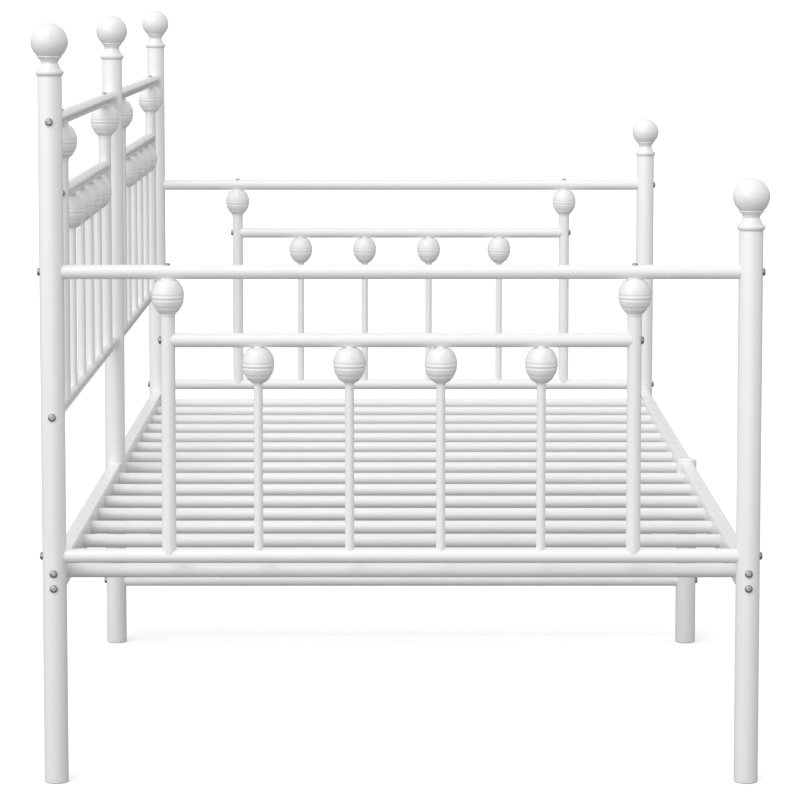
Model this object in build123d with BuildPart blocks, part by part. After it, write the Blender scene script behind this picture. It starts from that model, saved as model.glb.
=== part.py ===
from build123d import *
import math
import os

# A daybed of white steel tube, bolted together.
# It has two arm panels, a back of two panels, side rails, slats and a stretcher.
# X runs across the bed, from the back at -X to the open front at +X.
# Y runs along the bed, from the left arm at -Y to the right arm at +Y, as seen from the front.
# Z is up. The origin is on the floor, under the middle of the bed. All sizes are in millimetres.

os.makedirs("parts", exist_ok=True)

# Plan, between the centre lines of the posts.
bed_width = 923
bay_length = 1019

# Posts and legs: the thick upright tubes that stand on the floor.
post_diameter = 32
post_wall = 1.5
back_post_top = 943
front_post_top = 740
middle_leg_top = 297

# Frame tubes, thin bars and side rails.
tube_diameter = 19
tube_wall = 1.2
bar_diameter = 12
bar_wall = 1
rail_width = 20
rail_height = 40
rail_wall = 1.2
rail_corner = 2

# Heights of centre lines above the floor.
arm_top_z = 685
arm_second_z = 594.5
arm_lower_z = 306
back_top_z = 883
back_second_z = 780.5
back_lower_z = 493
rail_z = 274
slat_z = 276
stretcher_z = 101.5

# Places along a panel. The uprights are measured from the centre lines of its posts.
# The bars are spaced evenly between the uprights, and each arm bar then stands off by its own shift.
upright_offset = 153
arm_bar_shifts = (-4.4, -6.8, -9.2, 0.4)
back_bar_count = 4
slats_per_bay = 8

# Egg castings, which join the uprights and bars to the tube above them.
egg_diameter = 43.2
egg_height = 48.5
egg_crown_radius = 11.4
egg_waist_drop = 22.5
egg_shoulder_inset = 2.2
egg_heel_inset = 3.1
egg_collar_height = 2.5
egg_socket_wall = 0.6
egg_seat_rise = 2.5
egg_socket_depth = 14
egg_groove_radius = 0.5
egg_groove_places = (0.15, 0.57)

# Ball finials, measured up from the top of the post.
finial_ball_radius = 24.4
finial_ball_height = 44.8
finial_bead_overhang = 2.6
finial_bead_height = 7
finial_bead_belly = 4.9
finial_bead_step = 0.8
finial_cone_inset = 0.6
finial_cone_flare = 1.4
finial_cone_flare_drop = 3.2
finial_neck_radius = 11.2
finial_neck_height = 17
finial_cup_flare = 1.7
finial_cup_flare_rise = 4.2
finial_cup_radius = 16.6
finial_cup_height = 26.2
finial_cup_rim = 1.4
finial_ball_seat = 0.6

# Plugs that close the tube ends.
plug_depth = 22
foot_cap_thickness = 5
foot_cap_round = 2.2
leg_cap_rise = 4.5
leg_cap_rim = 1
leg_cap_depth = 8

# Fasteners: button head screws and plain studs into threaded inserts.
head_round_share = 0.8
head_socket_share = 0.6
screw_diameter = 6
screw_head_diameter = 10.5
screw_head_height = 3.3
screw_socket = 4
screw_grip = 14
egg_screw_diameter = 4
egg_screw_head_diameter = 7.6
egg_screw_head_height = 2.2
egg_screw_socket = 2.5
egg_screw_grip = 18
rail_screw_spacing = 20
insert_length = 16
insert_recess = 2
rail_insert_length = 20

# Clearances.
cope_gap = 0.05
plug_gap = 0.1
socket_gap = 0.1
slat_gap = 0.2
hole_gap = 0.6
thread_gap = 0.2
cope_trim = 3
tool_reach = 80

up = Vector(0, 0, 1)
across = Vector(1, 0, 0)
along = Vector(0, 1, 0)
back_x = -bed_width / 2
front_x = bed_width / 2
left_y = -bay_length
right_y = bay_length
post_radius = post_diameter / 2
tube_radius = tube_diameter / 2
post_bore = post_diameter - 2 * post_wall
screw_hole = screw_diameter + hole_gap
egg_screw_hole = egg_screw_diameter + hole_gap
finial_bead_radius = post_radius + finial_bead_overhang
finial_cone_radius = post_radius - finial_cone_inset
rail_screw_heights = (rail_z - rail_screw_spacing / 2, rail_z + rail_screw_spacing / 2)
slat_pitch = bay_length / slats_per_bay


def save(piece, node):
    """Labels a finished piece and writes its STEP file."""
    piece.part.label = node
    export_step(piece.part, f"parts/{node}.step")


def round_tube(start, end, diameter, wall, copes=(), holes=()):
    """A straight tube, with its ends coped to round members and holes drilled through it.

    Each cope or hole is (point on its centre line, direction, diameter).
    """
    run = end - start
    with BuildPart() as tube:
        with BuildSketch(Plane(origin=start, z_dir=run)):
            Circle(diameter / 2)
            Circle(diameter / 2 - wall, mode=Mode.SUBTRACT)
        extrude(amount=run.length)
        cuts = [(point, way, size + 2 * cope_gap) for point, way, size in copes]
        cuts += list(holes)
        for point, way, size in cuts:
            with BuildSketch(Plane(origin=point, z_dir=way)):
                Circle(size / 2)
            extrude(amount=tool_reach, both=True, mode=Mode.SUBTRACT)
    return tube


def button_screw(diameter, length, head_diameter, head_height, socket):
    """A screw with its head's underside at the origin, its head along +Z and its shank along -Z."""
    with BuildPart() as screw:
        with BuildSketch(Plane.XY):
            Circle(head_diameter / 2)
        extrude(amount=head_height)
        fillet(screw.edges().group_by(Axis.Z)[-1], radius=head_height * head_round_share)
        with BuildSketch(Plane.XY.offset(head_height)):
            RegularPolygon(radius=socket / 2, side_count=6, major_radius=False)
        extrude(amount=-head_height * head_socket_share, mode=Mode.SUBTRACT)
        with BuildSketch(Plane.XY):
            Circle(diameter / 2)
        extrude(amount=-length)
    return screw


def group_of(master, planes):
    """Separate copies of one piece, one on each plane."""
    with BuildPart() as group:
        with Locations(*planes):
            add(master.part)
    return group


# ---- Posts ----
# Across screws hold the arm tubes and the stretcher, and along screws hold the rails and the back tubes.
def post(node, x, y, top, across_screws, along_screws):
    """One post from its foot cap to its top, drilled at the given heights."""
    holes = [(Vector(x, y, z), across, screw_hole) for z in across_screws]
    holes += [(Vector(x, y, z), along, screw_hole) for z in along_screws]
    foot = Vector(x, y, foot_cap_thickness)
    save(round_tube(foot, Vector(x, y, top), post_diameter, post_wall, holes=holes), node)


arm_screw_heights = (arm_lower_z, arm_top_z)
back_screw_heights = (*rail_screw_heights, back_lower_z, back_top_z)
post("back_left_post", back_x, left_y, back_post_top, arm_screw_heights, back_screw_heights)
post("back_right_post", back_x, right_y, back_post_top, arm_screw_heights, back_screw_heights)
post("front_left_post", front_x, left_y, front_post_top, arm_screw_heights, rail_screw_heights)
post("front_right_post", front_x, right_y, front_post_top, arm_screw_heights, rail_screw_heights)
post("back_middle_post", back_x, 0, back_post_top, (stretcher_z,), back_screw_heights)
post("front_middle_leg", front_x, 0, middle_leg_top, (stretcher_z,), rail_screw_heights)


# ---- Foot caps, leg cap and ball finials ----
with BuildPart() as foot_cap:
    with BuildSketch(Plane.XY):
        Circle(post_radius)
    extrude(amount=foot_cap_thickness)
    fillet(foot_cap.edges().group_by(Axis.Z)[0], radius=foot_cap_round)
    with BuildSketch(Plane.XY.offset(foot_cap_thickness)):
        Circle(post_bore / 2 - plug_gap)
        Circle(post_bore / 2 - plug_gap - post_wall, mode=Mode.SUBTRACT)
    extrude(amount=plug_depth)

feet = [Location((x, y, 0)) for x in (back_x, front_x) for y in (left_y, 0, right_y)]
save(group_of(foot_cap, feet), "foot_caps")

dome_rise = leg_cap_rise - leg_cap_rim
dome_radius = (post_radius**2 + dome_rise**2) / (2 * dome_rise)
dome_angle = math.degrees(math.asin(post_radius / dome_radius))
with BuildPart() as middle_leg_cap:
    with BuildSketch(Plane(origin=(front_x, 0, middle_leg_top), x_dir=across, z_dir=-along)):
        with BuildLine():
            CenterArc((0, leg_cap_rise - dome_radius), dome_radius, 90 - dome_angle, dome_angle)
            Polyline(
                (0, leg_cap_rise),
                (0, -leg_cap_depth),
                (post_bore / 2 - plug_gap, -leg_cap_depth),
                (post_bore / 2 - plug_gap, 0),
                (post_radius, 0),
                (post_radius, leg_cap_rim),
            )
        make_face()
    revolve(axis=Axis((front_x, 0, 0), up))
save(middle_leg_cap, "middle_leg_cap")


def finial(node, x, y, post_top):
    """A ball finial: a spigot in the post, a bead on its rim, a cone, a neck, a cup and a ball."""
    spigot = post_bore / 2 - plug_gap
    bead_top = finial_bead_radius - finial_bead_step
    cup_side = finial_cup_height - finial_cup_rim
    seat_z = finial_cup_height + finial_ball_seat
    seat_radius = math.sqrt(finial_ball_radius**2 - (finial_ball_height - seat_z) ** 2)
    with BuildPart() as ball:
        with BuildSketch(Plane(origin=(x, y, post_top), x_dir=across, z_dir=-along)):
            with BuildLine():
                Polyline((0, -plug_depth), (spigot, -plug_depth), (spigot, 0), (post_radius, 0))
                ThreePointArc(
                    (post_radius, 0),
                    (finial_bead_radius, finial_bead_belly),
                    (bead_top, finial_bead_height),
                )
                Line((bead_top, finial_bead_height), (finial_cone_radius, finial_bead_height))
                ThreePointArc(
                    (finial_cone_radius, finial_bead_height),
                    (finial_neck_radius + finial_cone_flare, finial_neck_height - finial_cone_flare_drop),
                    (finial_neck_radius, finial_neck_height),
                )
                ThreePointArc(
                    (finial_neck_radius, finial_neck_height),
                    (finial_neck_radius + finial_cup_flare, finial_neck_height + finial_cup_flare_rise),
                    (finial_cup_radius, cup_side),
                )
                Polyline(
                    (finial_cup_radius, cup_side),
                    (finial_cup_radius, finial_cup_height),
                    (seat_radius - finial_ball_seat, seat_z),
                    (seat_radius, seat_z),
                )
                ThreePointArc(
                    (seat_radius, seat_z),
                    (finial_ball_radius, finial_ball_height),
                    (0, finial_ball_height + finial_ball_radius),
                )
                Line((0, finial_ball_height + finial_ball_radius), (0, -plug_depth))
            make_face()
        revolve(axis=Axis((x, y, 0), up))
    save(ball, node)


finial("back_left_finial", back_x, left_y, back_post_top)
finial("back_middle_finial", back_x, 0, back_post_top)
finial("back_right_finial", back_x, right_y, back_post_top)
finial("front_left_finial", front_x, left_y, front_post_top)
finial("front_right_finial", front_x, right_y, front_post_top)


# ---- Egg castings ----
def egg(member_diameter, screw_hole_diameter):
    """An egg hung from a tube that runs along local X, with the tube's centre line at the origin.

    Its socket takes an upright or bar of the given diameter. Its widest place is above its middle.
    """
    socket_radius = member_diameter / 2 + socket_gap
    collar_radius = socket_radius + egg_socket_wall
    belly = egg_diameter / 2
    crown = -tube_radius
    foot = crown - egg_height
    heel = foot + egg_collar_height
    waist = crown - egg_waist_drop
    with BuildPart() as casting:
        with BuildSketch(Plane.XZ):
            with BuildLine():
                lower = ThreePointArc(
                    (collar_radius, heel),
                    (belly - egg_heel_inset, (heel + waist) / 2 - egg_collar_height / 2),
                    (belly, waist),
                )
                ThreePointArc(
                    (belly, waist),
                    (belly - egg_shoulder_inset, (waist + crown) / 2),
                    (egg_crown_radius, crown),
                )
                Polyline(
                    (egg_crown_radius, crown),
                    (egg_crown_radius, crown + egg_seat_rise),
                    (0, crown + egg_seat_rise),
                    (0, foot),
                    (collar_radius, foot),
                    (collar_radius, heel),
                )
            make_face()
            with Locations(*[lower @ (1 - place) for place in egg_groove_places]):
                Circle(egg_groove_radius, mode=Mode.SUBTRACT)
        revolve(axis=Axis.Z)
        with BuildSketch(Plane.YZ):
            Circle(tube_radius + cope_gap)
        extrude(amount=egg_diameter, both=True, mode=Mode.SUBTRACT)
        with BuildSketch(Plane.XY.offset(foot)):
            Circle(socket_radius)
        extrude(amount=egg_socket_depth, mode=Mode.SUBTRACT)
        if screw_hole_diameter:
            with BuildSketch(Plane.XY):
                Circle(screw_hole_diameter / 2)
            extrude(amount=-tube_radius - egg_screw_grip - insert_recess, mode=Mode.SUBTRACT)
    return casting


upright_egg = egg(tube_diameter, egg_screw_diameter + thread_gap)
bar_egg = egg(bar_diameter, 0)


# ---- Arm and back panels ----
def panel(name, start_x, start_y, way, span, top_z, second_z, lower_z, bar_offsets):
    """One infill panel between two posts: tubes, uprights, bars and the eggs that carry them."""

    def at(distance, height):
        return Vector(start_x, start_y, height) + way * distance

    def cross_tube(ends, height, trim, upright_diameter, holes=()):
        """A tube between two upright members, coped to both."""
        start, end = ends
        copes = [(at(distance, height), up, upright_diameter) for distance in ends]
        return round_tube(
            at(start + trim, height), at(end - trim, height), tube_diameter, tube_wall, copes, holes
        )

    first, last = upright_offset, span - upright_offset
    egg_holes = [(at(distance, top_z), up, egg_screw_hole) for distance in (first, last)]
    save(cross_tube((0, span), top_z, 0, post_diameter, egg_holes), f"{name}_top_tube")
    save(cross_tube((first, last), second_z, cope_trim, tube_diameter), f"{name}_second_tube")
    save(cross_tube((0, span), lower_z, 0, post_diameter), f"{name}_lower_tube")

    for side, distance in (("first", first), ("last", last)):
        upright = round_tube(
            at(distance, lower_z + cope_trim),
            at(distance, top_z - tube_radius - egg_height + egg_socket_depth),
            tube_diameter,
            tube_wall,
            [(at(distance, lower_z), way, tube_diameter)],
            [(at(distance, second_z), way, screw_hole)],
        )
        save(upright, f"{name}_{side}_upright")

    bar_foot = lower_z + cope_trim
    bar_top = second_z - tube_radius - egg_height + egg_socket_depth
    with BuildPart() as bars:
        with BuildSketch(Plane.XY.offset(bar_foot)):
            with Locations(*[at(distance, 0) for distance in bar_offsets]):
                Circle(bar_diameter / 2)
                Circle(bar_diameter / 2 - bar_wall, mode=Mode.SUBTRACT)
        extrude(amount=bar_top - bar_foot)
        with BuildSketch(Plane(origin=at(0, lower_z), z_dir=way)):
            Circle(tube_radius + cope_gap)
        extrude(amount=span, mode=Mode.SUBTRACT)
    save(bars, f"{name}_bars")

    upright_seats = [Plane(at(distance, top_z), x_dir=way, z_dir=up) for distance in (first, last)]
    save(group_of(upright_egg, upright_seats), f"{name}_upright_eggs")
    bar_seats = [Plane(at(distance, second_z), x_dir=way, z_dir=up) for distance in bar_offsets]
    save(group_of(bar_egg, bar_seats), f"{name}_bar_eggs")


back_bar_gap = (bay_length - 2 * upright_offset) / (back_bar_count + 1)
back_bar_offsets = [upright_offset + back_bar_gap * (step + 1) for step in range(back_bar_count)]
arm_bar_gap = (bed_width - 2 * upright_offset) / (len(arm_bar_shifts) + 1)
arm_bar_offsets = [
    upright_offset + arm_bar_gap * (step + 1) + shift for step, shift in enumerate(arm_bar_shifts)
]
arm_heights = (arm_top_z, arm_second_z, arm_lower_z)
back_heights = (back_top_z, back_second_z, back_lower_z)
panel("left_arm", back_x, left_y, across, bed_width, *arm_heights, arm_bar_offsets)
panel("right_arm", back_x, right_y, across, bed_width, *arm_heights, arm_bar_offsets)
panel("left_back", back_x, left_y, along, bay_length, *back_heights, back_bar_offsets)
panel("right_back", back_x, 0, along, bay_length, *back_heights, back_bar_offsets)


# ---- Side rails, slats and stretcher ----
def side_rail(node, x, start_y):
    """One half of a side rail, with a hole in its inner wall for each slat."""
    inward = Vector(-math.copysign(1, x), 0, 0)
    with BuildPart() as rail:
        with BuildSketch(Plane(origin=(x, start_y, rail_z), x_dir=across, z_dir=along)):
            RectangleRounded(rail_width, rail_height, rail_corner)
            RectangleRounded(
                rail_width - 2 * rail_wall,
                rail_height - 2 * rail_wall,
                rail_corner - rail_wall,
                mode=Mode.SUBTRACT,
            )
        extrude(amount=bay_length)
        with BuildSketch(Plane.XY.offset(rail_z - rail_height)):
            with Locations((x, start_y), (x, start_y + bay_length)):
                Circle(post_radius + cope_gap)
        extrude(amount=2 * rail_height, mode=Mode.SUBTRACT)
        with BuildSketch(Plane(origin=(x, start_y + bay_length / 2, slat_z), x_dir=along, z_dir=inward)):
            with GridLocations(slat_pitch, 1, slats_per_bay, 1):
                Circle(tube_radius + slat_gap)
        extrude(amount=rail_width, mode=Mode.SUBTRACT)
    save(rail, node)


side_rail("back_left_rail", back_x, left_y)
side_rail("back_right_rail", back_x, 0)
side_rail("front_left_rail", front_x, left_y)
side_rail("front_right_rail", front_x, 0)


def slats(node, start_y):
    """The slats of one bay, which pass through the rails' inner walls and butt on their outer walls."""
    reach = bed_width / 2 + rail_width / 2 - rail_wall
    with BuildPart() as row:
        first_end = (-reach, start_y + bay_length / 2, slat_z)
        with BuildSketch(Plane(origin=first_end, x_dir=along, z_dir=across)):
            with GridLocations(slat_pitch, 1, slats_per_bay, 1):
                Circle(tube_radius)
                Circle(tube_radius - tube_wall, mode=Mode.SUBTRACT)
        extrude(amount=2 * reach)
    save(row, node)


slats("left_slats", left_y)
slats("right_slats", 0)

stretcher_ends = [Vector(x, 0, stretcher_z) for x in (back_x, front_x)]
stretcher_posts = [(end, up, post_diameter) for end in stretcher_ends]
save(round_tube(*stretcher_ends, tube_diameter, tube_wall, stretcher_posts), "stretcher")


# ---- Threaded inserts ----
with BuildPart() as tube_insert:
    with BuildSketch(Plane.XY.offset(insert_recess)):
        Circle(tube_radius - tube_wall - plug_gap)
        Circle((screw_diameter + thread_gap) / 2, mode=Mode.SUBTRACT)
    extrude(amount=insert_length)

with BuildPart() as rail_insert:
    with BuildSketch(Plane.XY.offset(insert_recess)):
        RectangleRounded(
            rail_width - 2 * (rail_wall + plug_gap),
            rail_height - 2 * (rail_wall + plug_gap),
            rail_corner - rail_wall,
        )
        with GridLocations(1, rail_screw_spacing, 1, 2):
            Circle((screw_diameter + thread_gap) / 2, mode=Mode.SUBTRACT)
    extrude(amount=rail_insert_length)


def seat(x, y, z, way, side=across):
    """A plane whose Z axis looks along a tube, away from the member that the tube meets."""
    return Plane(origin=(x, y, z), x_dir=side, z_dir=way)


arm_ends = [(back_x, across), (front_x, -across)]
bay_ends = [(left_y, along), (0, -along), (0, along), (right_y, -along)]
insert_seats = []
for y in (left_y, right_y):
    for z in arm_screw_heights:
        insert_seats += [seat(x, y, z, way, along).offset(post_radius) for x, way in arm_ends]
    for distance, way in ((upright_offset, across), (bed_width - upright_offset, -across)):
        insert_seats.append(seat(back_x + distance, y, arm_second_z, way, along).offset(tube_radius))
for z in (back_lower_z, back_top_z):
    insert_seats += [seat(back_x, y, z, way).offset(post_radius) for y, way in bay_ends]
for start in (left_y, 0):
    for distance, way in ((upright_offset, along), (bay_length - upright_offset, -along)):
        insert_seats.append(seat(back_x, start + distance, back_second_z, way).offset(tube_radius))
insert_seats += [seat(x, 0, stretcher_z, way, along).offset(post_radius) for x, way in arm_ends]
save(group_of(tube_insert, insert_seats), "tube_inserts")

rail_insert_seats = []
for x in (back_x, front_x):
    rail_insert_seats += [seat(x, y, rail_z, way).offset(post_radius) for y, way in bay_ends]
save(group_of(rail_insert, rail_insert_seats), "rail_inserts")


# ---- Screws and studs ----
post_screw = button_screw(
    screw_diameter, post_diameter + screw_grip, screw_head_diameter, screw_head_height, screw_socket
)
upright_screw = button_screw(
    screw_diameter, tube_diameter + screw_grip, screw_head_diameter, screw_head_height, screw_socket
)
egg_screw = button_screw(
    egg_screw_diameter,
    tube_diameter + egg_screw_grip,
    egg_screw_head_diameter,
    egg_screw_head_height,
    egg_screw_socket,
)

with BuildPart() as stud:
    with BuildSketch(Plane.XY):
        Circle(screw_diameter / 2)
    extrude(amount=post_radius + screw_grip, both=True)

outer_sides = [(back_x, -across), (front_x, across)]
outer_ends = [(left_y, -along), (right_y, along)]

tube_screw_seats = []
for x, way in outer_sides:
    for y in (left_y, right_y):
        tube_screw_seats += [seat(x, y, z, way, along).offset(post_radius) for z in arm_screw_heights]
    tube_screw_seats.append(seat(x, 0, stretcher_z, way, along).offset(post_radius))
for y, way in outer_ends:
    tube_screw_seats += [seat(back_x, y, z, way).offset(post_radius) for z in (back_lower_z, back_top_z)]
save(group_of(post_screw, tube_screw_seats), "tube_screws")

rail_screw_seats = []
for x in (back_x, front_x):
    for y, way in outer_ends:
        rail_screw_seats += [seat(x, y, z, way).offset(post_radius) for z in rail_screw_heights]
save(group_of(post_screw, rail_screw_seats), "rail_screws")

middle_stud_seats = [seat(back_x, 0, z, along) for z in (*rail_screw_heights, back_lower_z, back_top_z)]
middle_stud_seats += [seat(front_x, 0, z, along) for z in rail_screw_heights]
save(group_of(stud, middle_stud_seats), "middle_studs")

upright_screw_seats = []
for y in (left_y, right_y):
    for distance, way in ((upright_offset, -across), (bed_width - upright_offset, across)):
        outer_side = seat(back_x + distance, y, arm_second_z, way, along).offset(tube_radius)
        upright_screw_seats.append(outer_side)
for start in (left_y, 0):
    for distance, way in ((upright_offset, -along), (bay_length - upright_offset, along)):
        outer_side = seat(back_x, start + distance, back_second_z, way).offset(tube_radius)
        upright_screw_seats.append(outer_side)
save(group_of(upright_screw, upright_screw_seats), "upright_screws")

egg_screw_seats = []
for distance in (upright_offset, bed_width - upright_offset):
    for y in (left_y, right_y):
        egg_screw_seats.append(seat(back_x + distance, y, arm_top_z + tube_radius, up))
for distance in (upright_offset, bay_length - upright_offset):
    for start in (left_y, 0):
        egg_screw_seats.append(seat(back_x, start + distance, back_top_z + tube_radius, up))
save(group_of(egg_screw, egg_screw_seats), "egg_screws")
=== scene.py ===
# %% [markdown]
# # A white steel daybed
# The daybed is a bolted frame of round steel tube: two arm panels, a tall back in two panels, side
# rails and a row of slats. Its dimensions were drawn in CAD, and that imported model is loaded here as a
# fixed frame. This notebook then models each visible piece again with smooth curves and rounded rims,
# gives it the finish of the real piece, and lights it softly.
# All lengths in Blender are metres, in the frame of the CAD model: X across the bed from its back to
# its open front, Y along it from the left arm to the right arm, and Z up from the floor.

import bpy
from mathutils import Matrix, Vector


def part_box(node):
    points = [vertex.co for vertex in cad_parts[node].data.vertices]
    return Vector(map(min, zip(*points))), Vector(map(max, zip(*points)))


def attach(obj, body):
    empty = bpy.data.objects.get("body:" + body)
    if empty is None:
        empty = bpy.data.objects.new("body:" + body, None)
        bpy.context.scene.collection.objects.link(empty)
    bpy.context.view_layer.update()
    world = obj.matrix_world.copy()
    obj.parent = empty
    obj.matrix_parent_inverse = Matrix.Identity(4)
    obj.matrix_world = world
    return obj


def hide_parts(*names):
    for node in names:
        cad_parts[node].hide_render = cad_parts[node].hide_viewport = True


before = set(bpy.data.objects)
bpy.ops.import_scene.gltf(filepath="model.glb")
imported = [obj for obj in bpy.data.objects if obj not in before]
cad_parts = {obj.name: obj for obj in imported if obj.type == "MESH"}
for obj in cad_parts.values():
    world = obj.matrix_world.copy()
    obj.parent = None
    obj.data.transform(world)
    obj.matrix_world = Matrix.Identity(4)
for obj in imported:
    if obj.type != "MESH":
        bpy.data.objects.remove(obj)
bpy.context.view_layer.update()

# %% Other libraries
import math

import bmesh
import bpy
from mathutils import Matrix, Vector

MM = 0.001
TAU = 2 * math.pi
UP = Vector((0, 0, 1))
ACROSS = Vector((1, 0, 0))
ALONG = Vector((0, 1, 0))

# %% [markdown]
# ## Working by operator
# Blender's modelling operators act on everything that is selected. So every step here first says
# which pieces it works on, and edges and faces are picked in code, by their place.
# Most of the bed is turned, round work. Two helpers cover it. `rod` adds a cylinder at its size and
# place and rounds its rims, as the end of a cut tube is deburred. `lathe` draws half an outline, point
# by point, and spins it a full turn, as a turned or moulded round piece is designed. A mesh could be
# written vertex by vertex in place of that, but an outline is easier to read and to change.

# %% Selecting
# Places closer than this count as one.
NEAR = 0.01 * MM


def pick(*pieces):
    """Makes these the only selected objects, and the last of them the active one."""
    bpy.ops.object.select_all(action="DESELECT")
    for piece in pieces:
        piece.select_set(True)
    if pieces:
        bpy.context.view_layer.objects.active = pieces[-1]


def pick_parts(piece, kind, wanted):
    """In edit mode, selects the edges or faces whose corners all pass a test of their place."""
    bpy.ops.mesh.select_mode(type=kind)
    bpy.ops.mesh.select_all(action="DESELECT")
    net = bmesh.from_edit_mesh(piece.data)
    for part in net.faces if kind == "FACE" else net.edges:
        part.select_set(all(wanted(corner.co) for corner in part.verts))
    bmesh.update_edit_mesh(piece.data)


# %% Placing, copying and cutting
def settle(piece, name):
    """Names a piece and puts its place, turn and scale into its mesh."""
    pick(piece)
    bpy.ops.object.transform_apply(location=True, rotation=True, scale=True)
    piece.name = name
    piece.data.name = name
    return piece


def copies(master, name, places):
    """One piece made of separate copies of the master, one at each place. The master is used up."""
    made = []
    for place in places:
        pick(master)
        bpy.ops.object.duplicate(linked=False)
        twin = bpy.context.object
        twin.matrix_world = place
        made.append(twin)
    bpy.data.objects.remove(master)
    pick(*made)
    if len(made) > 1:
        bpy.ops.object.join()
    return settle(bpy.context.object, name)


def shifted(piece, name, offset):
    """A copy of a finished shape, moved by an offset, with its own mesh."""
    pick(piece)
    bpy.ops.object.duplicate(linked=False)
    twin = bpy.context.object
    twin.location = offset
    return settle(twin, name)


def cut(piece, cutter):
    """Takes the cutter's shape out of a piece, and throws the cutter away."""
    pick(piece)
    bpy.ops.object.modifier_add(type="BOOLEAN")
    bite = piece.modifiers[-1]
    bite.operation = "DIFFERENCE"
    bite.solver = "EXACT"
    bite.object = cutter
    bpy.ops.object.modifier_apply(modifier=bite.name)
    bpy.data.objects.remove(cutter)


# %% Rods and tubes
# The sides of the thicker round pieces and of the cutters.
FINE_TURNS = 64


def rod(name, start, end, radius, rim=0, turns=48):
    """A round rod between two points. Its rims are rounded by the length called rim."""
    pick()
    run = end - start
    bpy.ops.mesh.primitive_cylinder_add(
        vertices=turns,
        radius=radius,
        depth=run.length,
        location=(start + end) / 2,
        rotation=run.to_track_quat("Z", "Y").to_euler(),
    )
    piece = bpy.context.object
    if rim:
        bpy.ops.object.mode_set(mode="EDIT")
        tip = run.length / 2 - rim / 2
        for side in (1, -1):
            pick_parts(piece, "EDGE", lambda place: place.z * side > tip)
            bpy.ops.mesh.bevel(offset=rim, segments=3, profile=0.5, affect="EDGES")
        bpy.ops.object.mode_set(mode="OBJECT")
    return settle(piece, name)


def coped_tube(name, start, end, radius, members):
    """A tube whose ends are cut to fit round members, each (centre point, direction, radius)."""
    tube = rod(name, start, end, radius)
    for point, way, member_radius in members:
        reach = way * 4 * radius
        cut(tube, rod("cope", point - reach, point + reach, member_radius, turns=FINE_TURNS))
    return tube


# %% Turned outlines
def arc(start, through, end, steps):
    """Points after start on the circle through three points, in the plane of radius and height."""
    (ax, ay), (bx, by), (cx, cy) = start, through, end
    twist = 2 * (ax * (by - cy) + bx * (cy - ay) + cx * (ay - by))
    a, b, c = ax**2 + ay**2, bx**2 + by**2, cx**2 + cy**2
    x = (a * (by - cy) + b * (cy - ay) + c * (ay - by)) / twist
    y = (a * (cx - bx) + b * (ax - cx) + c * (bx - ax)) / twist
    radius = math.hypot(ax - x, ay - y)
    first, middle, last = (math.atan2(v - y, u - x) for u, v in (start, through, end))
    sweep = (last - first) % TAU
    if (middle - first) % TAU > sweep:
        sweep -= TAU
    angles = (first + sweep * step / steps for step in range(1, steps + 1))
    return [(x + radius * math.cos(angle), y + radius * math.sin(angle)) for angle in angles]


def lathe(name, outline, turns=FINE_TURNS):
    """Spins an outline of (radius, height) points, in millimetres, about Z. Both ends are on Z."""
    pick()
    bpy.ops.mesh.primitive_plane_add(size=MM)
    piece = bpy.context.object
    bpy.ops.object.mode_set(mode="EDIT")
    bpy.ops.mesh.select_mode(type="VERT")
    bpy.ops.mesh.select_all(action="SELECT")
    bpy.ops.mesh.merge(type="CENTER")
    bpy.ops.transform.translate(value=(outline[0][0] * MM, 0, outline[0][1] * MM))
    for (old_radius, old_height), (radius, height) in zip(outline, outline[1:]):
        step = ((radius - old_radius) * MM, 0, (height - old_height) * MM)
        bpy.ops.mesh.extrude_region_move(TRANSFORM_OT_translate={"value": step})
    bpy.ops.mesh.select_all(action="SELECT")
    bpy.ops.mesh.spin(steps=turns, angle=TAU, center=(0, 0, 0), axis=(0, 0, 1))
    bpy.ops.mesh.select_all(action="SELECT")
    bpy.ops.mesh.remove_doubles(threshold=0.002 * MM)
    bpy.ops.mesh.normals_make_consistent(inside=False)
    bpy.ops.object.mode_set(mode="OBJECT")
    return settle(piece, name)


# %% [markdown]
# ## Finishes
# Almost everything on this bed is white, so the finishes are told apart by gloss and by how flat their
# surface is, more than by colour. A helper turns sRGB hex colours into the linear numbers that a
# shader works in, and another adds one node with its values and links. Every pattern reads Object
# coordinates. The pieces keep their place in their meshes, so those coordinates are metres on the bed.

# %% Helpers for materials
def linear(code):
    """An sRGB hex colour, such as F2F2F0, as linear red, green, blue and alpha."""
    channels = [int(code[place : place + 2], 16) / 255 for place in (0, 2, 4)]
    return [c / 12.92 if c <= 0.04045 else ((c + 0.055) / 1.055) ** 2.4 for c in channels] + [1]


def add_node(tree, kind, inputs, **settings):
    """Adds a node. An input is given as a value, or as another node's output, which is then linked."""
    made = tree.nodes.new(kind)
    for key, value in settings.items():
        setattr(made, key, value)
    for key, value in inputs.items():
        if isinstance(value, bpy.types.NodeSocket):
            tree.links.new(value, made.inputs[key])
        else:
            made.inputs[key].default_value = value
    return made


def new_finish(name, **constants):
    """A material with these constants on its shader. Returns it, its tree, shader and coordinates."""
    finish = bpy.data.materials.new(name)
    finish.use_nodes = True
    tree = finish.node_tree
    shader = tree.nodes["Principled BSDF"]
    for key, value in constants.items():
        shader.inputs[key.replace("_", " ")].default_value = value
    place = add_node(tree, "ShaderNodeTexCoord", {}).outputs["Object"]
    return finish, tree, shader, place


def mottle(tree, place, size_mm, detail=2):
    """Soft noise whose lumps are about size_mm across. Returns its 0 to 1 output."""
    scale = 1 / (size_mm * MM)
    noise = add_node(tree, "ShaderNodeTexNoise", {"Vector": place, "Scale": scale, "Detail": detail})
    return noise.outputs[0]


# Nearly all of a noise output lies between these two.
NOISE_LOW = 0.3
NOISE_HIGH = 0.7


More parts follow.
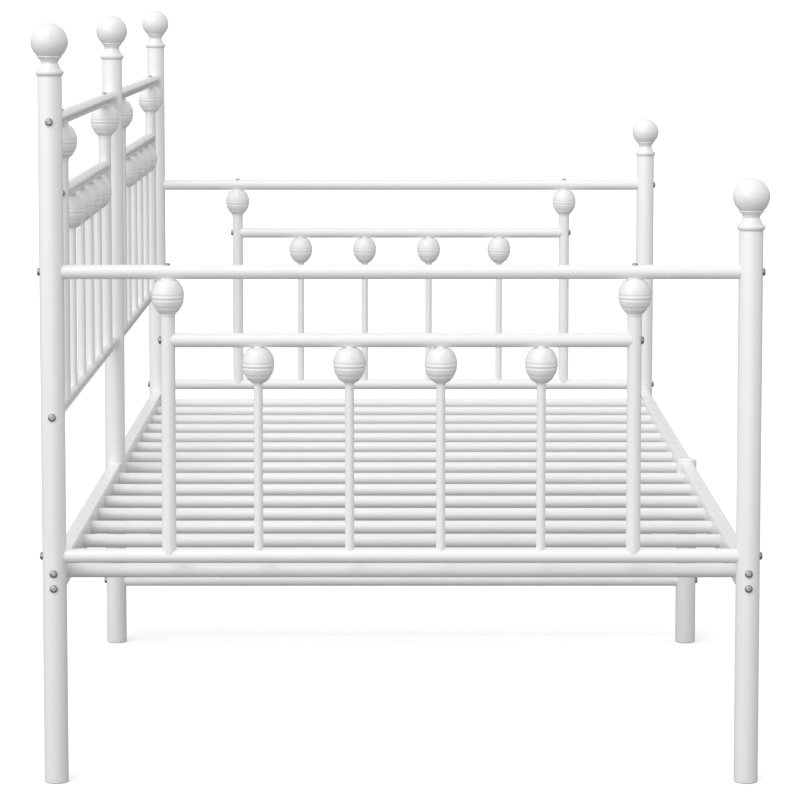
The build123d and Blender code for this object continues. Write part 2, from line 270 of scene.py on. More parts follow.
def spread(tree, value, low, high):
    """Stretches the middle of a noise output to run from low to high."""
    limits = {"Value": value, "From Min": NOISE_LOW, "From Max": NOISE_HIGH}
    limits.update({"To Min": low, "To Max": high})
    return add_node(tree, "ShaderNodeMapRange", limits).outputs["Result"]


def tint(tree, value, low_code, high_code):
    """A colour between two sRGB hex colours, chosen by a 0 to 1 value."""
    mix = add_node(tree, "ShaderNodeMix", {"Factor": value}, data_type="RGBA")
    mix.inputs["A"].default_value = linear(low_code)
    mix.inputs["B"].default_value = linear(high_code)
    return mix.outputs["Result"]


def relief(tree, shader, height, depth_mm):
    """Bumps the surface by a height map whose full range is depth_mm."""
    settings = {"Height": height, "Distance": depth_mm * MM, "Strength": 1.0}
    bump = add_node(tree, "ShaderNodeBump", settings)
    tree.links.new(bump.outputs["Normal"], shader.inputs["Normal"])


# %% [markdown]
# ### Powder-coated steel
# The tubes are mild steel with a baked polyester powder coat. The powder melts and flows out into one
# smooth skin, which leaves a semi-gloss white with a faint orange-peel ripple, a few millimetres from
# crest to crest and a few thousandths of a millimetre deep. The skin is a dielectric, so the steel
# below gives nothing to the colour: it needs no metallic value. A plain glossy white would look like
# glass tube. Soft highlights and a little unevenness in the gloss are what say paint. A deeper ripple
# would show as ribs where a long tube is seen almost end on.

# %% Powder coat
powder_coat, tree, shader, place = new_finish("powder_coated_steel", IOR=1.5)
tree.links.new(tint(tree, mottle(tree, place, 60), "EEEEEE", "F1F1F1"), shader.inputs["Base Color"])
tree.links.new(spread(tree, mottle(tree, place, 40, detail=1), 0.22, 0.25), shader.inputs["Roughness"])
relief(tree, shader, mottle(tree, place, 4, detail=0), 0.002)
print("made", powder_coat.name)

# %% [markdown]
# ### Enamelled casting
# The eggs are small die castings under the same white, sprayed on thicker and baked glossier. A
# casting keeps the slight waviness of its die, so its ripple is longer than the tubes' orange peel.
# The grooves could be drawn in the finish with a bump, but a bump leaves the outline smooth, so real
# grooves are modelled instead and the finish stays plain.

# %% Casting enamel
enamel, tree, shader, place = new_finish("enamelled_casting", IOR=1.52)
tree.links.new(tint(tree, mottle(tree, place, 12), "ECECEC", "F1F1F1"), shader.inputs["Base Color"])
tree.links.new(spread(tree, mottle(tree, place, 9), 0.16, 0.22), shader.inputs["Roughness"])
relief(tree, shader, mottle(tree, place, 9, detail=0), 0.04)
print("made", enamel.name)

# %% [markdown]
# ### Moulded ABS, glossy and satin
# The ball finials and the cap on the short leg are injection-moulded ABS with a polished mould, so
# they show the sharpest highlights on the bed. Their white is the plastic's own pigment, slightly
# cooler than the paint, and a moulding sinks by a few hundredths of a millimetre over its thick parts.
# The foot caps are a tougher, satin plastic, with the fine spark-eroded grain that hides scuffs.

# %% Moulded plastics
gloss_plastic, tree, shader, place = new_finish("moulded_gloss_abs", IOR=1.54)
tree.links.new(tint(tree, mottle(tree, place, 30), "EEEEEF", "F1F1F2"), shader.inputs["Base Color"])
tree.links.new(spread(tree, mottle(tree, place, 18), 0.10, 0.16), shader.inputs["Roughness"])
relief(tree, shader, mottle(tree, place, 22, detail=0), 0.1)

foot_plastic, tree, shader, place = new_finish("moulded_satin_polypropylene", IOR=1.49)
tree.links.new(tint(tree, mottle(tree, place, 15), "E4E4E2", "EAEAE8"), shader.inputs["Base Color"])
tree.links.new(spread(tree, mottle(tree, place, 8), 0.45, 0.58), shader.inputs["Roughness"])
relief(tree, shader, mottle(tree, place, 1.2), 0.06)
print("made", gloss_plastic.name, "and", foot_plastic.name)

# %% [markdown]
# ### Zinc-plated steel
# The screws are plated in a barrel, in bulk. Zinc is a true metal surface, so its colour is the tint
# of its reflections: a neutral mid grey, clouded by tiny crystals and by knocks from other screws.

# %% Zinc plate
zinc, tree, shader, place = new_finish("zinc_plated_steel", Metallic=1.0)
tree.links.new(tint(tree, mottle(tree, place, 2), "9A9A99", "AEAEAD"), shader.inputs["Base Color"])
tree.links.new(spread(tree, mottle(tree, place, 1.5), 0.2, 0.32), shader.inputs["Roughness"])
relief(tree, shader, mottle(tree, place, 0.8), 0.02)
print("made", zinc.name)


# %% [markdown]
# ## Handing a piece over
# A finished piece gets smooth shading up to a chosen crease angle and its finish. It then rides on the
# bed's one rigid body and stands for the CAD node that it replaces.

# %% Finishing
def finish_piece(piece, node, finish, crease=35):
    """Shades a piece, gives it its finish, and lets it stand for one CAD node."""
    pick(piece)
    bpy.ops.object.shade_smooth_by_angle(angle=math.radians(crease))
    piece.data.materials.clear()
    piece.data.materials.append(finish)
    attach(piece, "root")
    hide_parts(node)
    print(f"{piece.name}: {len(piece.data.polygons)} faces")


def finish_steel(piece, node):
    """Finishes a piece of coated tube."""
    finish_piece(piece, node, powder_coat)


# %% [markdown]
# ## Where things are
# Every place is read from the boxes of the CAD nodes, so a changed dimension in the CAD model moves
# the fine pieces with it. The posts give the plan, and the tubes give the heights.

# %% Places and sizes from the frame
def middle(node):
    """The middle of a CAD node's box."""
    low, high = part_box(node)
    return (low + high) / 2


def extent(node):
    """The size of a CAD node's box along X, Y and Z."""
    low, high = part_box(node)
    return high - low


back_x = middle("back_left_post").x
front_x = middle("front_left_post").x
left_y = middle("back_left_post").y
right_y = middle("back_right_post").y
middle_y = middle("back_middle_post").y
post_radius = extent("back_left_post").x / 2
tube_radius = extent("stretcher").z / 2
bar_radius = extent("left_arm_bars").y / 2
foot_cap_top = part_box("back_left_post")[0].z
bed_width = front_x - back_x
bay_length = middle_y - left_y
print(f"posts {bed_width:.3f} m apart across, bays {bay_length:.3f} m long")

# %% [markdown]
# ## Posts
# Six posts stand on the floor: three at the back, two at the front corners and a short middle leg.
# Each is a length of 32 mm tube. The ends are cut square and deburred, and both are closed by plastic
# parts, so a solid rod with slightly rounded rims shows the same as a hollow tube would.

# %% Posts
POST_RIM = 0.5 * MM
POST_NODES = (
    "back_left_post",
    "back_middle_post",
    "back_right_post",
    "front_left_post",
    "front_right_post",
    "front_middle_leg",
)
for node in POST_NODES:
    foot = middle(node).xy.to_3d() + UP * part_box(node)[0].z
    head = middle(node).xy.to_3d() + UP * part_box(node)[1].z
    finish_steel(rod(f"{node}_tube", foot, head, post_radius, POST_RIM, turns=FINE_TURNS), node)

# %% [markdown]
# ## Foot caps
# A foot cap is a moulded plug: a disc as wide as the post, rounded where it meets the floor, with a
# spigot that is pressed into the tube. The disc starts as a cylinder, its lower rim is bevelled, and
# its top face is inset and extruded into the spigot.

# %% Foot caps
SPIGOT_STEP = 1.6 * MM
SPIGOT_DEPTH = 22 * MM
FOOT_ROUND = 2.2 * MM
cap = rod("foot_cap", Vector(), UP * foot_cap_top, post_radius, turns=FINE_TURNS)
pick(cap)
bpy.ops.object.mode_set(mode="EDIT")
pick_parts(cap, "EDGE", lambda place: place.z < foot_cap_top / 2)
bpy.ops.mesh.bevel(offset=FOOT_ROUND, segments=5, profile=0.5, affect="EDGES")
pick_parts(cap, "FACE", lambda place: place.z > foot_cap_top - NEAR)
bpy.ops.mesh.inset(thickness=SPIGOT_STEP)
bpy.ops.mesh.extrude_region_move(TRANSFORM_OT_translate={"value": (0, 0, SPIGOT_DEPTH)})
bpy.ops.object.mode_set(mode="OBJECT")
feet = [Matrix.Translation(middle(node).xy.to_3d()) for node in POST_NODES]
finish_piece(copies(cap, "moulded_foot_caps", feet), "foot_caps", foot_plastic)

# %% [markdown]
# ## Ball finials
# Each tall post ends in a moulded finial: a bead that hides the tube's rim, a cone that flows in to a
# neck, a flared cup, and a ball that sits in the cup with a fine shadow line round it. It is a turned
# shape, so half its outline is drawn from the post's rim upwards and spun. The bead, cone and cup are
# arcs, which a subdivision surface would only come near to. Each point of the outline is a radius and
# a height above the post, in millimetres.

# %% Ball finials
SPIGOT_RADIUS = 14.4
BEAD_BELLY = (18.6, 4.9)
BEAD_TOP = (17.9, 6.9)
CONE_FOOT = (15.5, 7.3)
CONE_FLANK = (12.75, 13.8)
NECK = (11.2, 17)
CUP_FLANK = (12.9, 21.2)
CUP_EDGE = (16.6, 24.9)
BALL_RADIUS = 24.4
BALL_HEIGHT = 44.8
BALL_SEAT_HEIGHT = 26.8
BEAD_STEPS = 8
ARC_STEPS = 10
BALL_STEPS = 28
post_mm = post_radius / MM
bead = [(post_mm, 0)] + arc((post_mm, 0), BEAD_BELLY, BEAD_TOP, BEAD_STEPS)
shoulder = [(17.5, 7.15), CONE_FOOT]
cone = arc(CONE_FOOT, CONE_FLANK, NECK, ARC_STEPS)
lip = [(16.7, 25.6), (16.5, 26.2), (16.1, 26.4)]
cup = arc(NECK, CUP_FLANK, CUP_EDGE, ARC_STEPS) + lip
groove = [(15.2, 26.2)]
seat_angle = math.asin((BALL_SEAT_HEIGHT - BALL_HEIGHT) / BALL_RADIUS)
ball = []
for step in range(BALL_STEPS + 1):
    angle = seat_angle + (math.pi / 2 - seat_angle) * step / BALL_STEPS
    ball.append((max(0, BALL_RADIUS * math.cos(angle)), BALL_HEIGHT + BALL_RADIUS * math.sin(angle)))
spigot = [(0, -SPIGOT_DEPTH / MM), (SPIGOT_RADIUS, -SPIGOT_DEPTH / MM), (SPIGOT_RADIUS, 0)]
finial = lathe("finial", spigot + bead + shoulder + cone + cup + groove + ball)
for side in ("back_left", "back_middle", "back_right", "front_left", "front_right"):
    post_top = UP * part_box(f"{side}_post")[1].z
    spot = middle(f"{side}_post").xy.to_3d() + post_top
    piece = shifted(finial, f"{side}_ball", spot)
    finish_piece(piece, f"{side}_finial", gloss_plastic)
bpy.data.objects.remove(finial)

# %% [markdown]
# ## The short leg's cap
# The middle leg at the front stops just above the rail, under a low domed cap of the same plastic.

# %% Leg cap
CAP_RIM = 1
CAP_RISE = 4.5
CAP_DEPTH = 8
DOME_FLANK = (post_mm * 0.55, CAP_RIM + 2.5)
dome_side = (post_mm, CAP_RIM)
dome_peak = (0.01, CAP_RISE)
dome = arc(dome_side, DOME_FLANK, dome_peak, ARC_STEPS)
cap_spigot = [(0, -CAP_DEPTH), (SPIGOT_RADIUS, -CAP_DEPTH), (SPIGOT_RADIUS, 0)]
cap_side = [(post_mm, 0), dome_side]
leg_cap = lathe("leg_cap", cap_spigot + cap_side + dome[:-1] + [(0, CAP_RISE)])
leg_top = middle("front_middle_leg").xy.to_3d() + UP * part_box("front_middle_leg")[1].z
leg_cap.location = leg_top
settle(leg_cap, "leg_cap_dome")
finish_piece(leg_cap, "middle_leg_cap", gloss_plastic)

# %% [markdown]
# ## Eggs
# A cast egg joins each upright and each thin bar to the tube above it. Its top is cut to a saddle
# that sits on the tube, and its foot is a socket for the bar. Rounded ridges and grooves run round it
# below its widest place and again lower down, and its upper half is cast with shallow steps.
# The outline follows an ellipse, a little longer above the waist than below it. Each ring adds a
# smooth bump to the radius, or takes one away for a groove. At each step the outline stands out a
# little and falls back, so that the light catches a line. A ring is written as its depth below the
# tube, its half width and its rise, in millimetres. Then the outline is spun, and a Boolean cutter
# the size of the tube makes the saddle.

# %% The egg's outline
# All in millimetres. Depths are measured down from the underside of the tube.
EGG_HEIGHT = 48.5
EGG_RADIUS = 21.6
WAIST_DEPTH = 22.5
UPPER_REACH = 26.45
LOWER_REACH = 26.3
CROWN_DEPTH = 2.8
CROWN_REACH = 3.2
SOCKET_DEPTH = 14
SEAT_RISE = 2.5
SOCKET_GAP = 0.1
SOCKET_WALL = 0.6
MOUTH_RISE = 0.3
MOUTH_EASE = 0.2
COLLAR_EASE = 0.15
OUTLINE_PITCH = 0.5
RINGS = (
    (21.2, 0.9, -0.3),
    (23.8, 1.0, 0.26),
    (26.6, 1.1, -0.55),
    (29.3, 1.2, 0.1),
    (37.4, 1.3, -0.5),
    (40.0, 1.2, 0.14),
)
STEPS = (5.5, 9.5, 13.5, 17.0)
LAST_STEP_END = 20
STEP_HEIGHT = 0.18
STEP_FADE = 2.6


def egg_radius(depth):
    """The egg's radius at a depth in millimetres below the underside of the tube."""
    from_waist = depth - WAIST_DEPTH
    reach = UPPER_REACH if from_waist < 0 else LOWER_REACH
    radius = EGG_RADIUS * math.sqrt(max(0, 1 - (from_waist / reach) ** 2))
    if depth < CROWN_DEPTH:
        radius *= math.sqrt(1 - ((CROWN_DEPTH - depth) / CROWN_REACH) ** 2)
    for ring_depth, width, rise in RINGS:
        radius += rise * math.exp(-(((depth - ring_depth) / width) ** 2))
    started = [start for start in STEPS if start <= depth < LAST_STEP_END]
    if started:
        radius += STEP_HEIGHT * math.exp(-(depth - started[-1]) / STEP_FADE)
    return radius


def egg_outline(socket_radius):
    """The outline of an egg from the roof of its socket, out and up to its seat on the tube."""
    crown = -tube_radius / MM
    foot = crown - EGG_HEIGHT
    mouth = socket_radius + SOCKET_GAP
    collar = mouth + SOCKET_WALL
    roof = foot + SOCKET_DEPTH
    outline = [(0, roof), (mouth, roof), (mouth, foot + MOUTH_RISE), (mouth + MOUTH_EASE, foot)]
    outline += [(collar - COLLAR_EASE, foot), (collar, foot + COLLAR_EASE)]
    steps = int(EGG_HEIGHT / OUTLINE_PITCH)
    depths = [EGG_HEIGHT - OUTLINE_PITCH * step for step in range(1, steps + 1)]
    outline += [(max(egg_radius(depth), collar), crown - depth) for depth in depths]
    seat_radius = outline[-1][0]
    return outline + [(seat_radius, crown + SEAT_RISE), (0, crown + SEAT_RISE)]


def saddled_egg(name, socket_radius):
    """An egg that hangs from a tube along X, whose centre line passes through the origin."""
    egg = lathe(name, egg_outline(socket_radius / MM))
    reach = ACROSS * EGG_RADIUS * 2 * MM
    cut(egg, rod("saddle", -reach, reach, tube_radius, turns=FINE_TURNS))
    return egg


# %% [markdown]
# ## Arm and back panels
# The four infill panels share one pattern. A top tube and a lower tube run from post to post, two
# uprights stand between them, a second tube joins the uprights, and four thin bars rise from the lower
# tube to the second. The ends of a tube that meets a post are sawn to the post's round, which is
# called coping, and a Boolean cutter with the post's radius does it here.
# The right arm is the left arm moved along the bed, and the same goes for the two back panels, so each
# kind is modelled once and copied.

# %% One panel
COPE_TRIM = 3 * MM


def panel_pieces(start, way, span, heights, upright_offset, bar_places, name):
    """Models one panel from a post at start. Returns {name of its piece in the CAD: the new piece}."""
    top_z, second_z, lower_z = heights
    turn = Matrix.Rotation(math.atan2(way.y, way.x), 4, "Z")

    def at(distance, height):
        return start + way * distance + UP * height

    first, last = upright_offset, span - upright_offset
    made = {}
    for key, height, ends, trim, member in (
        ("top_tube", top_z, (0, span), 0, post_radius),
        ("second_tube", second_z, (first, last), COPE_TRIM, tube_radius),
        ("lower_tube", lower_z, (0, span), 0, post_radius),
    ):
        members = [(at(distance, height), UP, member) for distance in ends]
        tube_ends = at(ends[0] + trim, height), at(ends[1] - trim, height)
        made[key] = coped_tube(f"{name}_{key}", *tube_ends, tube_radius, members)

    # An upright or a bar ends half way up the socket of its egg.
    egg_foot = tube_radius + EGG_HEIGHT * MM - SOCKET_DEPTH * MM / 2
    for key, distance in (("first_upright", first), ("last_upright", last)):
        foot = at(distance, lower_z + COPE_TRIM)
        members = [(at(distance, lower_z), way, tube_radius)]
        head = at(distance, top_z - egg_foot)
        made[key] = coped_tube(f"{name}_{key}", foot, head, tube_radius, members)

    bar = rod("bar", at(0, lower_z + COPE_TRIM), at(0, second_z - egg_foot), bar_radius, turns=40)
    reach = way * 4 * bar_radius
    seat = at(0, lower_z)
    cut(bar, rod("cope", seat - reach, seat + reach, tube_radius, turns=FINE_TURNS))
    made["bars"] = copies(bar, f"{name}_bars", [Matrix.Translation(way * place) for place in bar_places])

    egg_sets = (
        ("upright_eggs", tube_radius, top_z, (first, last)),
        ("bar_eggs", bar_radius, second_z, bar_places),
    )
    for key, socket_radius, height, places in egg_sets:
        seats = [Matrix.Translation(at(place, height)) @ turn for place in places]
        made[key] = copies(saddled_egg("egg", socket_radius), f"{name}_{key}", seats)
    return made


def panel_pair(nodes, start, way, span, bar_places, offset):
    """Models the panel that the first name stands for, copies it to the second, finishes both."""
    first_name, second_name = nodes
    heights = [middle(f"{first_name}_{key}_tube").z for key in ("top", "second", "lower")]
    upright_offset = (middle(f"{first_name}_first_upright") - start).xy.to_3d().dot(way)
    made = panel_pieces(start, way, span, heights, upright_offset, bar_places, f"{first_name}_fine")
    for key, piece in made.items():
        twin = shifted(piece, f"{second_name}_fine_{key}", offset)
        for part, name in ((piece, first_name), (twin, second_name)):
            if key.endswith("eggs"):
                finish_piece(part, f"{name}_{key}", enamel, crease=45)
            else:
                finish_steel(part, f"{name}_{key}")


# %% Arms and back
# How far each bar of an arm stands from the back post. The gaps aren't quite equal.
ARM_BARS = [place * MM for place in (272, 393, 514, 647)]
BACK_BAR_COUNT = 4
back_upright = middle("left_back_first_upright").y - left_y
back_gap = (bay_length - 2 * back_upright) / (BACK_BAR_COUNT + 1)
back_bars = [back_upright + back_gap * (step + 1) for step in range(BACK_BAR_COUNT)]
back_start = Vector((back_x, left_y, 0))
arm_shift = ALONG * (right_y - left_y)
panel_pair(("left_arm", "right_arm"), back_start, ACROSS, bed_width, ARM_BARS, arm_shift)
panel_pair(("left_back", "right_back"), back_start, ALONG, bay_length, back_bars, ALONG * bay_length)

# %% [markdown]
# ## Side rails
# The side rails are rectangular tube, 20 by 40 mm, which is stiffer on edge than round tube and gives
# the slats a wall to pass into. A cube is scaled to the rail, its four long edges are bevelled to the
# tube's corner radius, and its ends are coped to the posts.

# %% Side rails
RAIL_CORNER = 2 * MM


def side_rail(name, x, start_y, size, z):
    """One half of a side rail, between the centre lines of two posts and coped to both."""
    pick()
    bpy.ops.mesh.primitive_cube_add(size=1, location=(x, start_y + bay_length / 2, z))
    rail = bpy.context.object
    rail.scale = (size.x, bay_length, size.z)
    settle(rail, name)
    bpy.ops.object.mode_set(mode="EDIT")
    bpy.ops.mesh.select_mode(type="EDGE")
    net = bmesh.from_edit_mesh(rail.data)
    for edge in net.edges:
        run = edge.verts[0].co - edge.verts[1].co
        edge.select_set(abs(run.y) > bay_length / 2)
    bmesh.update_edit_mesh(rail.data)
    bpy.ops.mesh.bevel(offset=RAIL_CORNER, segments=5, profile=0.5, affect="EDGES")
    bpy.ops.object.mode_set(mode="OBJECT")
    for y in (start_y, start_y + bay_length):
        post_axis = Vector((x, y, z))
        cope_ends = post_axis - UP * size.z, post_axis + UP * size.z
        cut(rail, rod("cope", *cope_ends, post_radius, turns=FINE_TURNS))
    return rail


rail_size = extent("back_left_rail")
rail_z = middle("back_left_rail").z
for side, x in (("back", back_x), ("front", front_x)):
    rail = side_rail(f"{side}_left_rail_tube", x, left_y, rail_size, rail_z)
    twin = shifted(rail, f"{side}_right_rail_tube", ALONG * bay_length)
    finish_steel(rail, f"{side}_left_rail")
    finish_steel(twin, f"{side}_right_rail")

# %% [markdown]
# ## Slats and stretcher
# Eight round slats to a bay carry the mattress. They pass through the rails' inner walls, so only
# their middles show. The stretcher is a single coped tube that holds the two middle legs apart.

# %% Slats and stretcher
SLATS_PER_BAY = 8
SLAT_RIM = 0.3 * MM
WALL_OVERLAP = 1.2 * MM
slat_reach = bed_width / 2 - rail_size.x / 2 + WALL_OVERLAP
slat_z = middle("left_slats").z
slat_ends = [Vector((x, 0, slat_z)) for x in (-slat_reach, slat_reach)]
slat = rod("slat", *slat_ends, tube_radius, rim=SLAT_RIM)
pitch = bay_length / SLATS_PER_BAY
slat_ys = [left_y + pitch * (step + 0.5) for step in range(SLATS_PER_BAY)]
slat_places = [Matrix.Translation(ALONG * y) for y in slat_ys]
left_slats = copies(slat, "left_bay_slats", slat_places)
right_slats = shifted(left_slats, "right_bay_slats", ALONG * bay_length)
finish_steel(left_slats, "left_slats")
finish_steel(right_slats, "right_slats")

stretcher_z = middle("stretcher").z
stretcher_ends = [Vector((x, middle_y, stretcher_z)) for x in (back_x, front_x)]
members = [(end, UP, post_radius) for end in stretcher_ends]
finish_steel(coped_tube("stretcher_tube", *stretcher_ends, tube_radius, members), "stretcher")

# %% [markdown]
# ## Screws
# The bed is held together by button-head screws with a hex socket. A head starts as a cylinder. Its
# upper rim is bevelled into a dome, its underside is inset and extruded down into the shank, and a
# six-sided cutter sinks the socket. One screw is modelled for each size and copied to every hole.
# Only a head is ever seen: its shank and the threaded inserts and studs inside the tubes are hidden.

# %% One screw
SHANK_LENGTH = 12 * MM
# How much of the head's height is domed, and how deep its socket goes.
DOME_SHARE = 0.8
SOCKET_SHARE = 0.6


def button_screw(name, head_diameter, head_height, shank_diameter, socket):
    """A screw with its head's underside at the origin, its head along +Z and its shank along -Z."""
    screw = rod(name, Vector(), UP * head_height, head_diameter / 2)
    pick(screw)
    bpy.ops.object.mode_set(mode="EDIT")
    pick_parts(screw, "EDGE", lambda place: place.z > head_height / 2)
    bpy.ops.mesh.bevel(offset=head_height * DOME_SHARE, segments=6, profile=0.5, affect="EDGES")
    pick_parts(screw, "FACE", lambda place: place.z < NEAR)
    bpy.ops.mesh.inset(thickness=(head_diameter - shank_diameter) / 2)
    bpy.ops.mesh.extrude_region_move(TRANSFORM_OT_translate={"value": (0, 0, -SHANK_LENGTH)})
    bpy.ops.object.mode_set(mode="OBJECT")
    corner_radius = socket / 2 / math.cos(math.pi / 6)
    floor_z = head_height * (1 - SOCKET_SHARE)
    cut(screw, rod("socket", UP * floor_z, UP * 2 * head_height, corner_radius, turns=6))
    return screw


def seats_on(points, way):
    """Places for screws that point along way, with their heads' undersides at the points."""
    turn = way.to_track_quat("Z", "Y").to_matrix().to_4x4()
    return [Matrix.Translation(point) @ turn for point in points]


# %% Screws in their holes
RAIL_SCREW_SPACING = 20 * MM
arm_z = [middle(f"left_arm_{key}_tube").z for key in ("lower", "top")]
back_z = [middle(f"left_back_{key}_tube").z for key in ("lower", "top")]
rail_screw_z = [rail_z - RAIL_SCREW_SPACING / 2, rail_z + RAIL_SCREW_SPACING / 2]

tube_seats = []
for x, way in ((back_x, -ACROSS), (front_x, ACROSS)):
    face = x + way.x * post_radius
    points = [Vector((face, y, z)) for y in (left_y, right_y) for z in arm_z]
    tube_seats += seats_on(points + [Vector((face, middle_y, stretcher_z))], way)
rail_seats = []
for y, way in ((left_y, -ALONG), (right_y, ALONG)):
    face = y + way.y * post_radius
    tube_seats += seats_on([Vector((back_x, face, z)) for z in back_z], way)
    rail_seats += seats_on([Vector((x, face, z)) for x in (back_x, front_x) for z in rail_screw_z], way)

upright_seats = []
egg_seats = []
for panel, way, offset in (("left_arm", ACROSS, arm_shift), ("left_back", ALONG, ALONG * bay_length)):
    screw_z = middle(f"{panel}_second_tube").z
    egg_screw_z = middle(f"{panel}_top_tube").z + tube_radius
    for key, side in (("first_upright", -way), ("last_upright", way)):
        axis = middle(f"{panel}_{key}").xy.to_3d()
        spots = [axis, axis + offset]
        upright_seats += seats_on([spot + side * tube_radius + UP * screw_z for spot in spots], side)
        egg_seats += seats_on([spot + UP * egg_screw_z for spot in spots], UP)

# The sizes of a screw: head diameter, head height, shank diameter and socket across flats.
POST_HEAD = [size * MM for size in (10.5, 3.3, 6, 4)]
EGG_HEAD = [size * MM for size in (7.6, 2.2, 4, 2.5)]
for node, seats, head in (
    ("tube_screws", tube_seats, POST_HEAD),
    ("rail_screws", rail_seats, POST_HEAD),
    ("upright_screws", upright_seats, POST_HEAD),
    ("egg_screws", egg_seats, EGG_HEAD),
):
    piece = copies(button_screw("screw", *head), f"zinc_{node}", seats)
    finish_piece(piece, node, zinc)

# %% Hidden inserts and studs keep their CAD shapes
for node in ("tube_inserts", "rail_inserts", "middle_studs"):
    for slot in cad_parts[node].material_slots:
        slot.material = zinc
    print(node, len(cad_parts[node].material_slots), "slot given", zinc.name)

# %% [markdown]
# ## Floor
# The bed stands on a plain pale floor, as in a white studio. The floor is a matt sheet that is wide
# enough to fill the view.
# White on white only reads by its shading, so the floor doesn't throw its own light up onto the
# tubes: it is hidden from diffuse and glossy rays, and a dimmer lower sky stands in for it. The
# floor's faint glow stands for the lamps of its own that a studio gives a white backdrop.

# %% Floor
FLOOR_SIZE = 1200
FLOOR_GLOW = 0.26
pick()
bpy.ops.mesh.primitive_plane_add(size=FLOOR_SIZE, location=(0, 0, 0))
floor = bpy.context.object
floor.name = "studio_floor"
floor_paint, tree, shader, place = new_finish("matt_studio_floor", Roughness=0.9, IOR=1.3)
shader.inputs["Base Color"].default_value = linear("F4F4F4")
shader.inputs["Emission Color"].default_value = linear("FFFFFF")
shader.inputs["Emission Strength"].default_value = FLOOR_GLOW
floor.data.materials.append(floor_paint)
floor.visible_diffuse = False
floor.visible_glossy = False
print("floor", FLOOR_SIZE, "m wide")

# %% [markdown]
# ## Lamps
# One large soft light comes from the upper left, nearer than the bed's left arm, so left sides and
# tops are bright and right sides and undersides fall off to a clear grey. A low, soft fill from the
# camera's side reaches in under the slats and evens out the posts. A narrower strip overhead
# draws a bright line along every level tube. Area lamps would fall off along a bed two metres long.
# Sun lamps with a wide angle light it evenly, and the angle sets how soft they are.

# %% Three soft lamps
def soft_lamp(name, towards, strength, spread_angle):
    """A sun lamp, as wide as a softbox seen from the bed, in the direction called towards."""
    lamp_data = bpy.data.lights.new(name, "SUN")
    lamp_data.energy = strength
    lamp_data.angle = math.radians(spread_angle)
    lamp = bpy.data.objects.new(name, lamp_data)
    lamp.rotation_euler = Vector(towards).to_track_quat("Z", "Y").to_euler()
    bpy.context.scene.collection.objects.link(lamp)
    print(f"{name}: strength {strength}, {spread_angle} degrees wide")


soft_lamp("large_soft_key", (-0.6, -0.62, 0.5), 0.82, 55)
soft_lamp("low_front_fill", (-0.15, -1, 0.1), 0.46, 50)
soft_lamp("overhead_strip", (-0.12, -0.6, 0.8), 0.4, 16)

# %% [markdown]
# ## Sky
# The sky fills what the lamps leave. It is brighter on the left than on the right, as a room with one
# large window is. Below the horizon it is dimmer and stands for the floor's light. Straight down it
# is dimmer still, which darkens the undersides of the tubes and the lower rims of the screw heads.
# All of it is worked out from the direction of a ray: X gives left and right, and Z gives the height.

# %% Sky
SKY_LEFT = 0.88
SKY_RIGHT = 0.66
GROUND = 0.43
STRAIGHT_DOWN = 0.22
sky = bpy.data.worlds.new("soft_white_room")
bpy.context.scene.world = sky
sky.use_nodes = True
tree = sky.node_tree
way = add_node(tree, "ShaderNodeTexCoord", {}).outputs["Generated"]
parts = add_node(tree, "ShaderNodeSeparateXYZ", {"Vector": way}).outputs


def blend_between(value, start, end, first, last):
    """Goes from first to last as a value goes from start to end, and stays level outside that."""
    limits = {"Value": value, "From Min": start, "From Max": end, "To Min": first, "To Max": last}
    return add_node(tree, "ShaderNodeMapRange", limits).outputs["Result"]


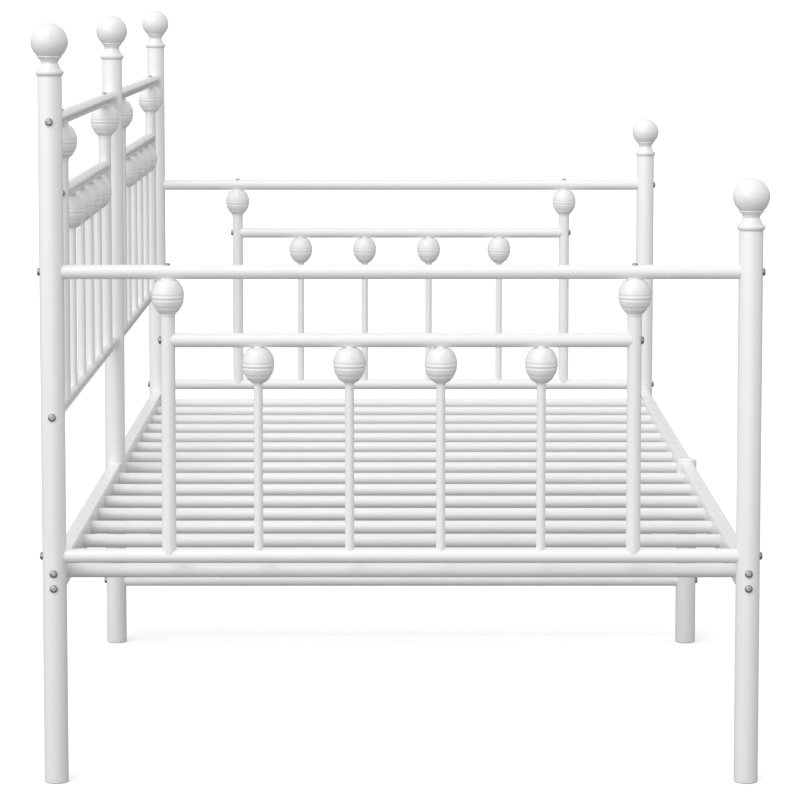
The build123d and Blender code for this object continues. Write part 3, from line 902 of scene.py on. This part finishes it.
room = blend_between(parts["X"], -1.0, 1.0, SKY_LEFT, SKY_RIGHT)
ground = blend_between(parts["Z"], -0.6, -0.2, STRAIGHT_DOWN, GROUND)
strength = blend_between(parts["Z"], -0.1, 0.02, ground, room)
background = tree.nodes["Background"]
background.inputs["Color"].default_value = linear("FFFFFF")
tree.links.new(strength, background.inputs["Strength"])
bpy.context.scene.view_settings.view_transform = "Standard"
print(sky.name, "from", SKY_LEFT, "on the left to", SKY_RIGHT, "on the right")

# %% [markdown]
# ## A dark card
# In a studio, dark cards, or flags, stand round a white product to give it its edges. This one is
# wide and low and stands beyond the bed, because that is where a tube that runs away from the camera
# gets its reflections. The lower side of the tube reflects the card in place of the bright room, so
# it has a clear dark edge. Only glossy rays meet the card, so it isn't seen and it shades nothing.

# %% A dark card beyond the bed
CARD_PLACE = (0, 8, 0.3)
CARD_SIZE = (26, 1.6, 1)
pick()
bpy.ops.mesh.primitive_plane_add(size=1, location=CARD_PLACE, rotation=(math.pi / 2, 0, 0))
flag = bpy.context.object
flag.scale = CARD_SIZE
settle(flag, "dark_card")
card_paint, tree, shader, place = new_finish("matt_dark_card", Roughness=0.95)
shader.inputs["Base Color"].default_value = linear("6A6A6A")
flag.data.materials.append(card_paint)
flag.visible_camera = False
flag.visible_shadow = False
flag.visible_diffuse = False
print(flag.name, CARD_SIZE[0], "by", CARD_SIZE[1], "m")

# %% [markdown]
# ## Camera
# The camera stands almost five metres off the left end, on the bed's centre line and a little above
# the top of its back, and looks along the bed. The long lens is only there to fill the frame from so
# far off: it is the distance that keeps the far arm in proportion to the near one. A level camera
# with a shifted lens would keep the posts quite upright. But every other view keeps the shift and
# would lose part of the bed, so most of the framing comes from a slight tilt instead.

# %% Camera
CAMERA_PLACE = (-0.0016, -5.7049, 1.0647)
FOCAL_LENGTH = 160.227
TILT = 6.049
LENS_SHIFT = -0.05
camera_data = bpy.data.cameras.new("product_camera")
camera_data.lens = FOCAL_LENGTH
camera_data.sensor_width = 36
camera_data.shift_y = LENS_SHIFT
camera_data.clip_end = 1000
camera = bpy.data.objects.new("product_camera", camera_data)
camera.location = CAMERA_PLACE
camera.rotation_euler = (math.radians(90 - TILT), 0, 0)
bpy.context.scene.collection.objects.link(camera)
bpy.context.scene.camera = camera
print(camera.name, round(FOCAL_LENGTH), "mm lens, tilted down", round(TILT, 1), "degrees")
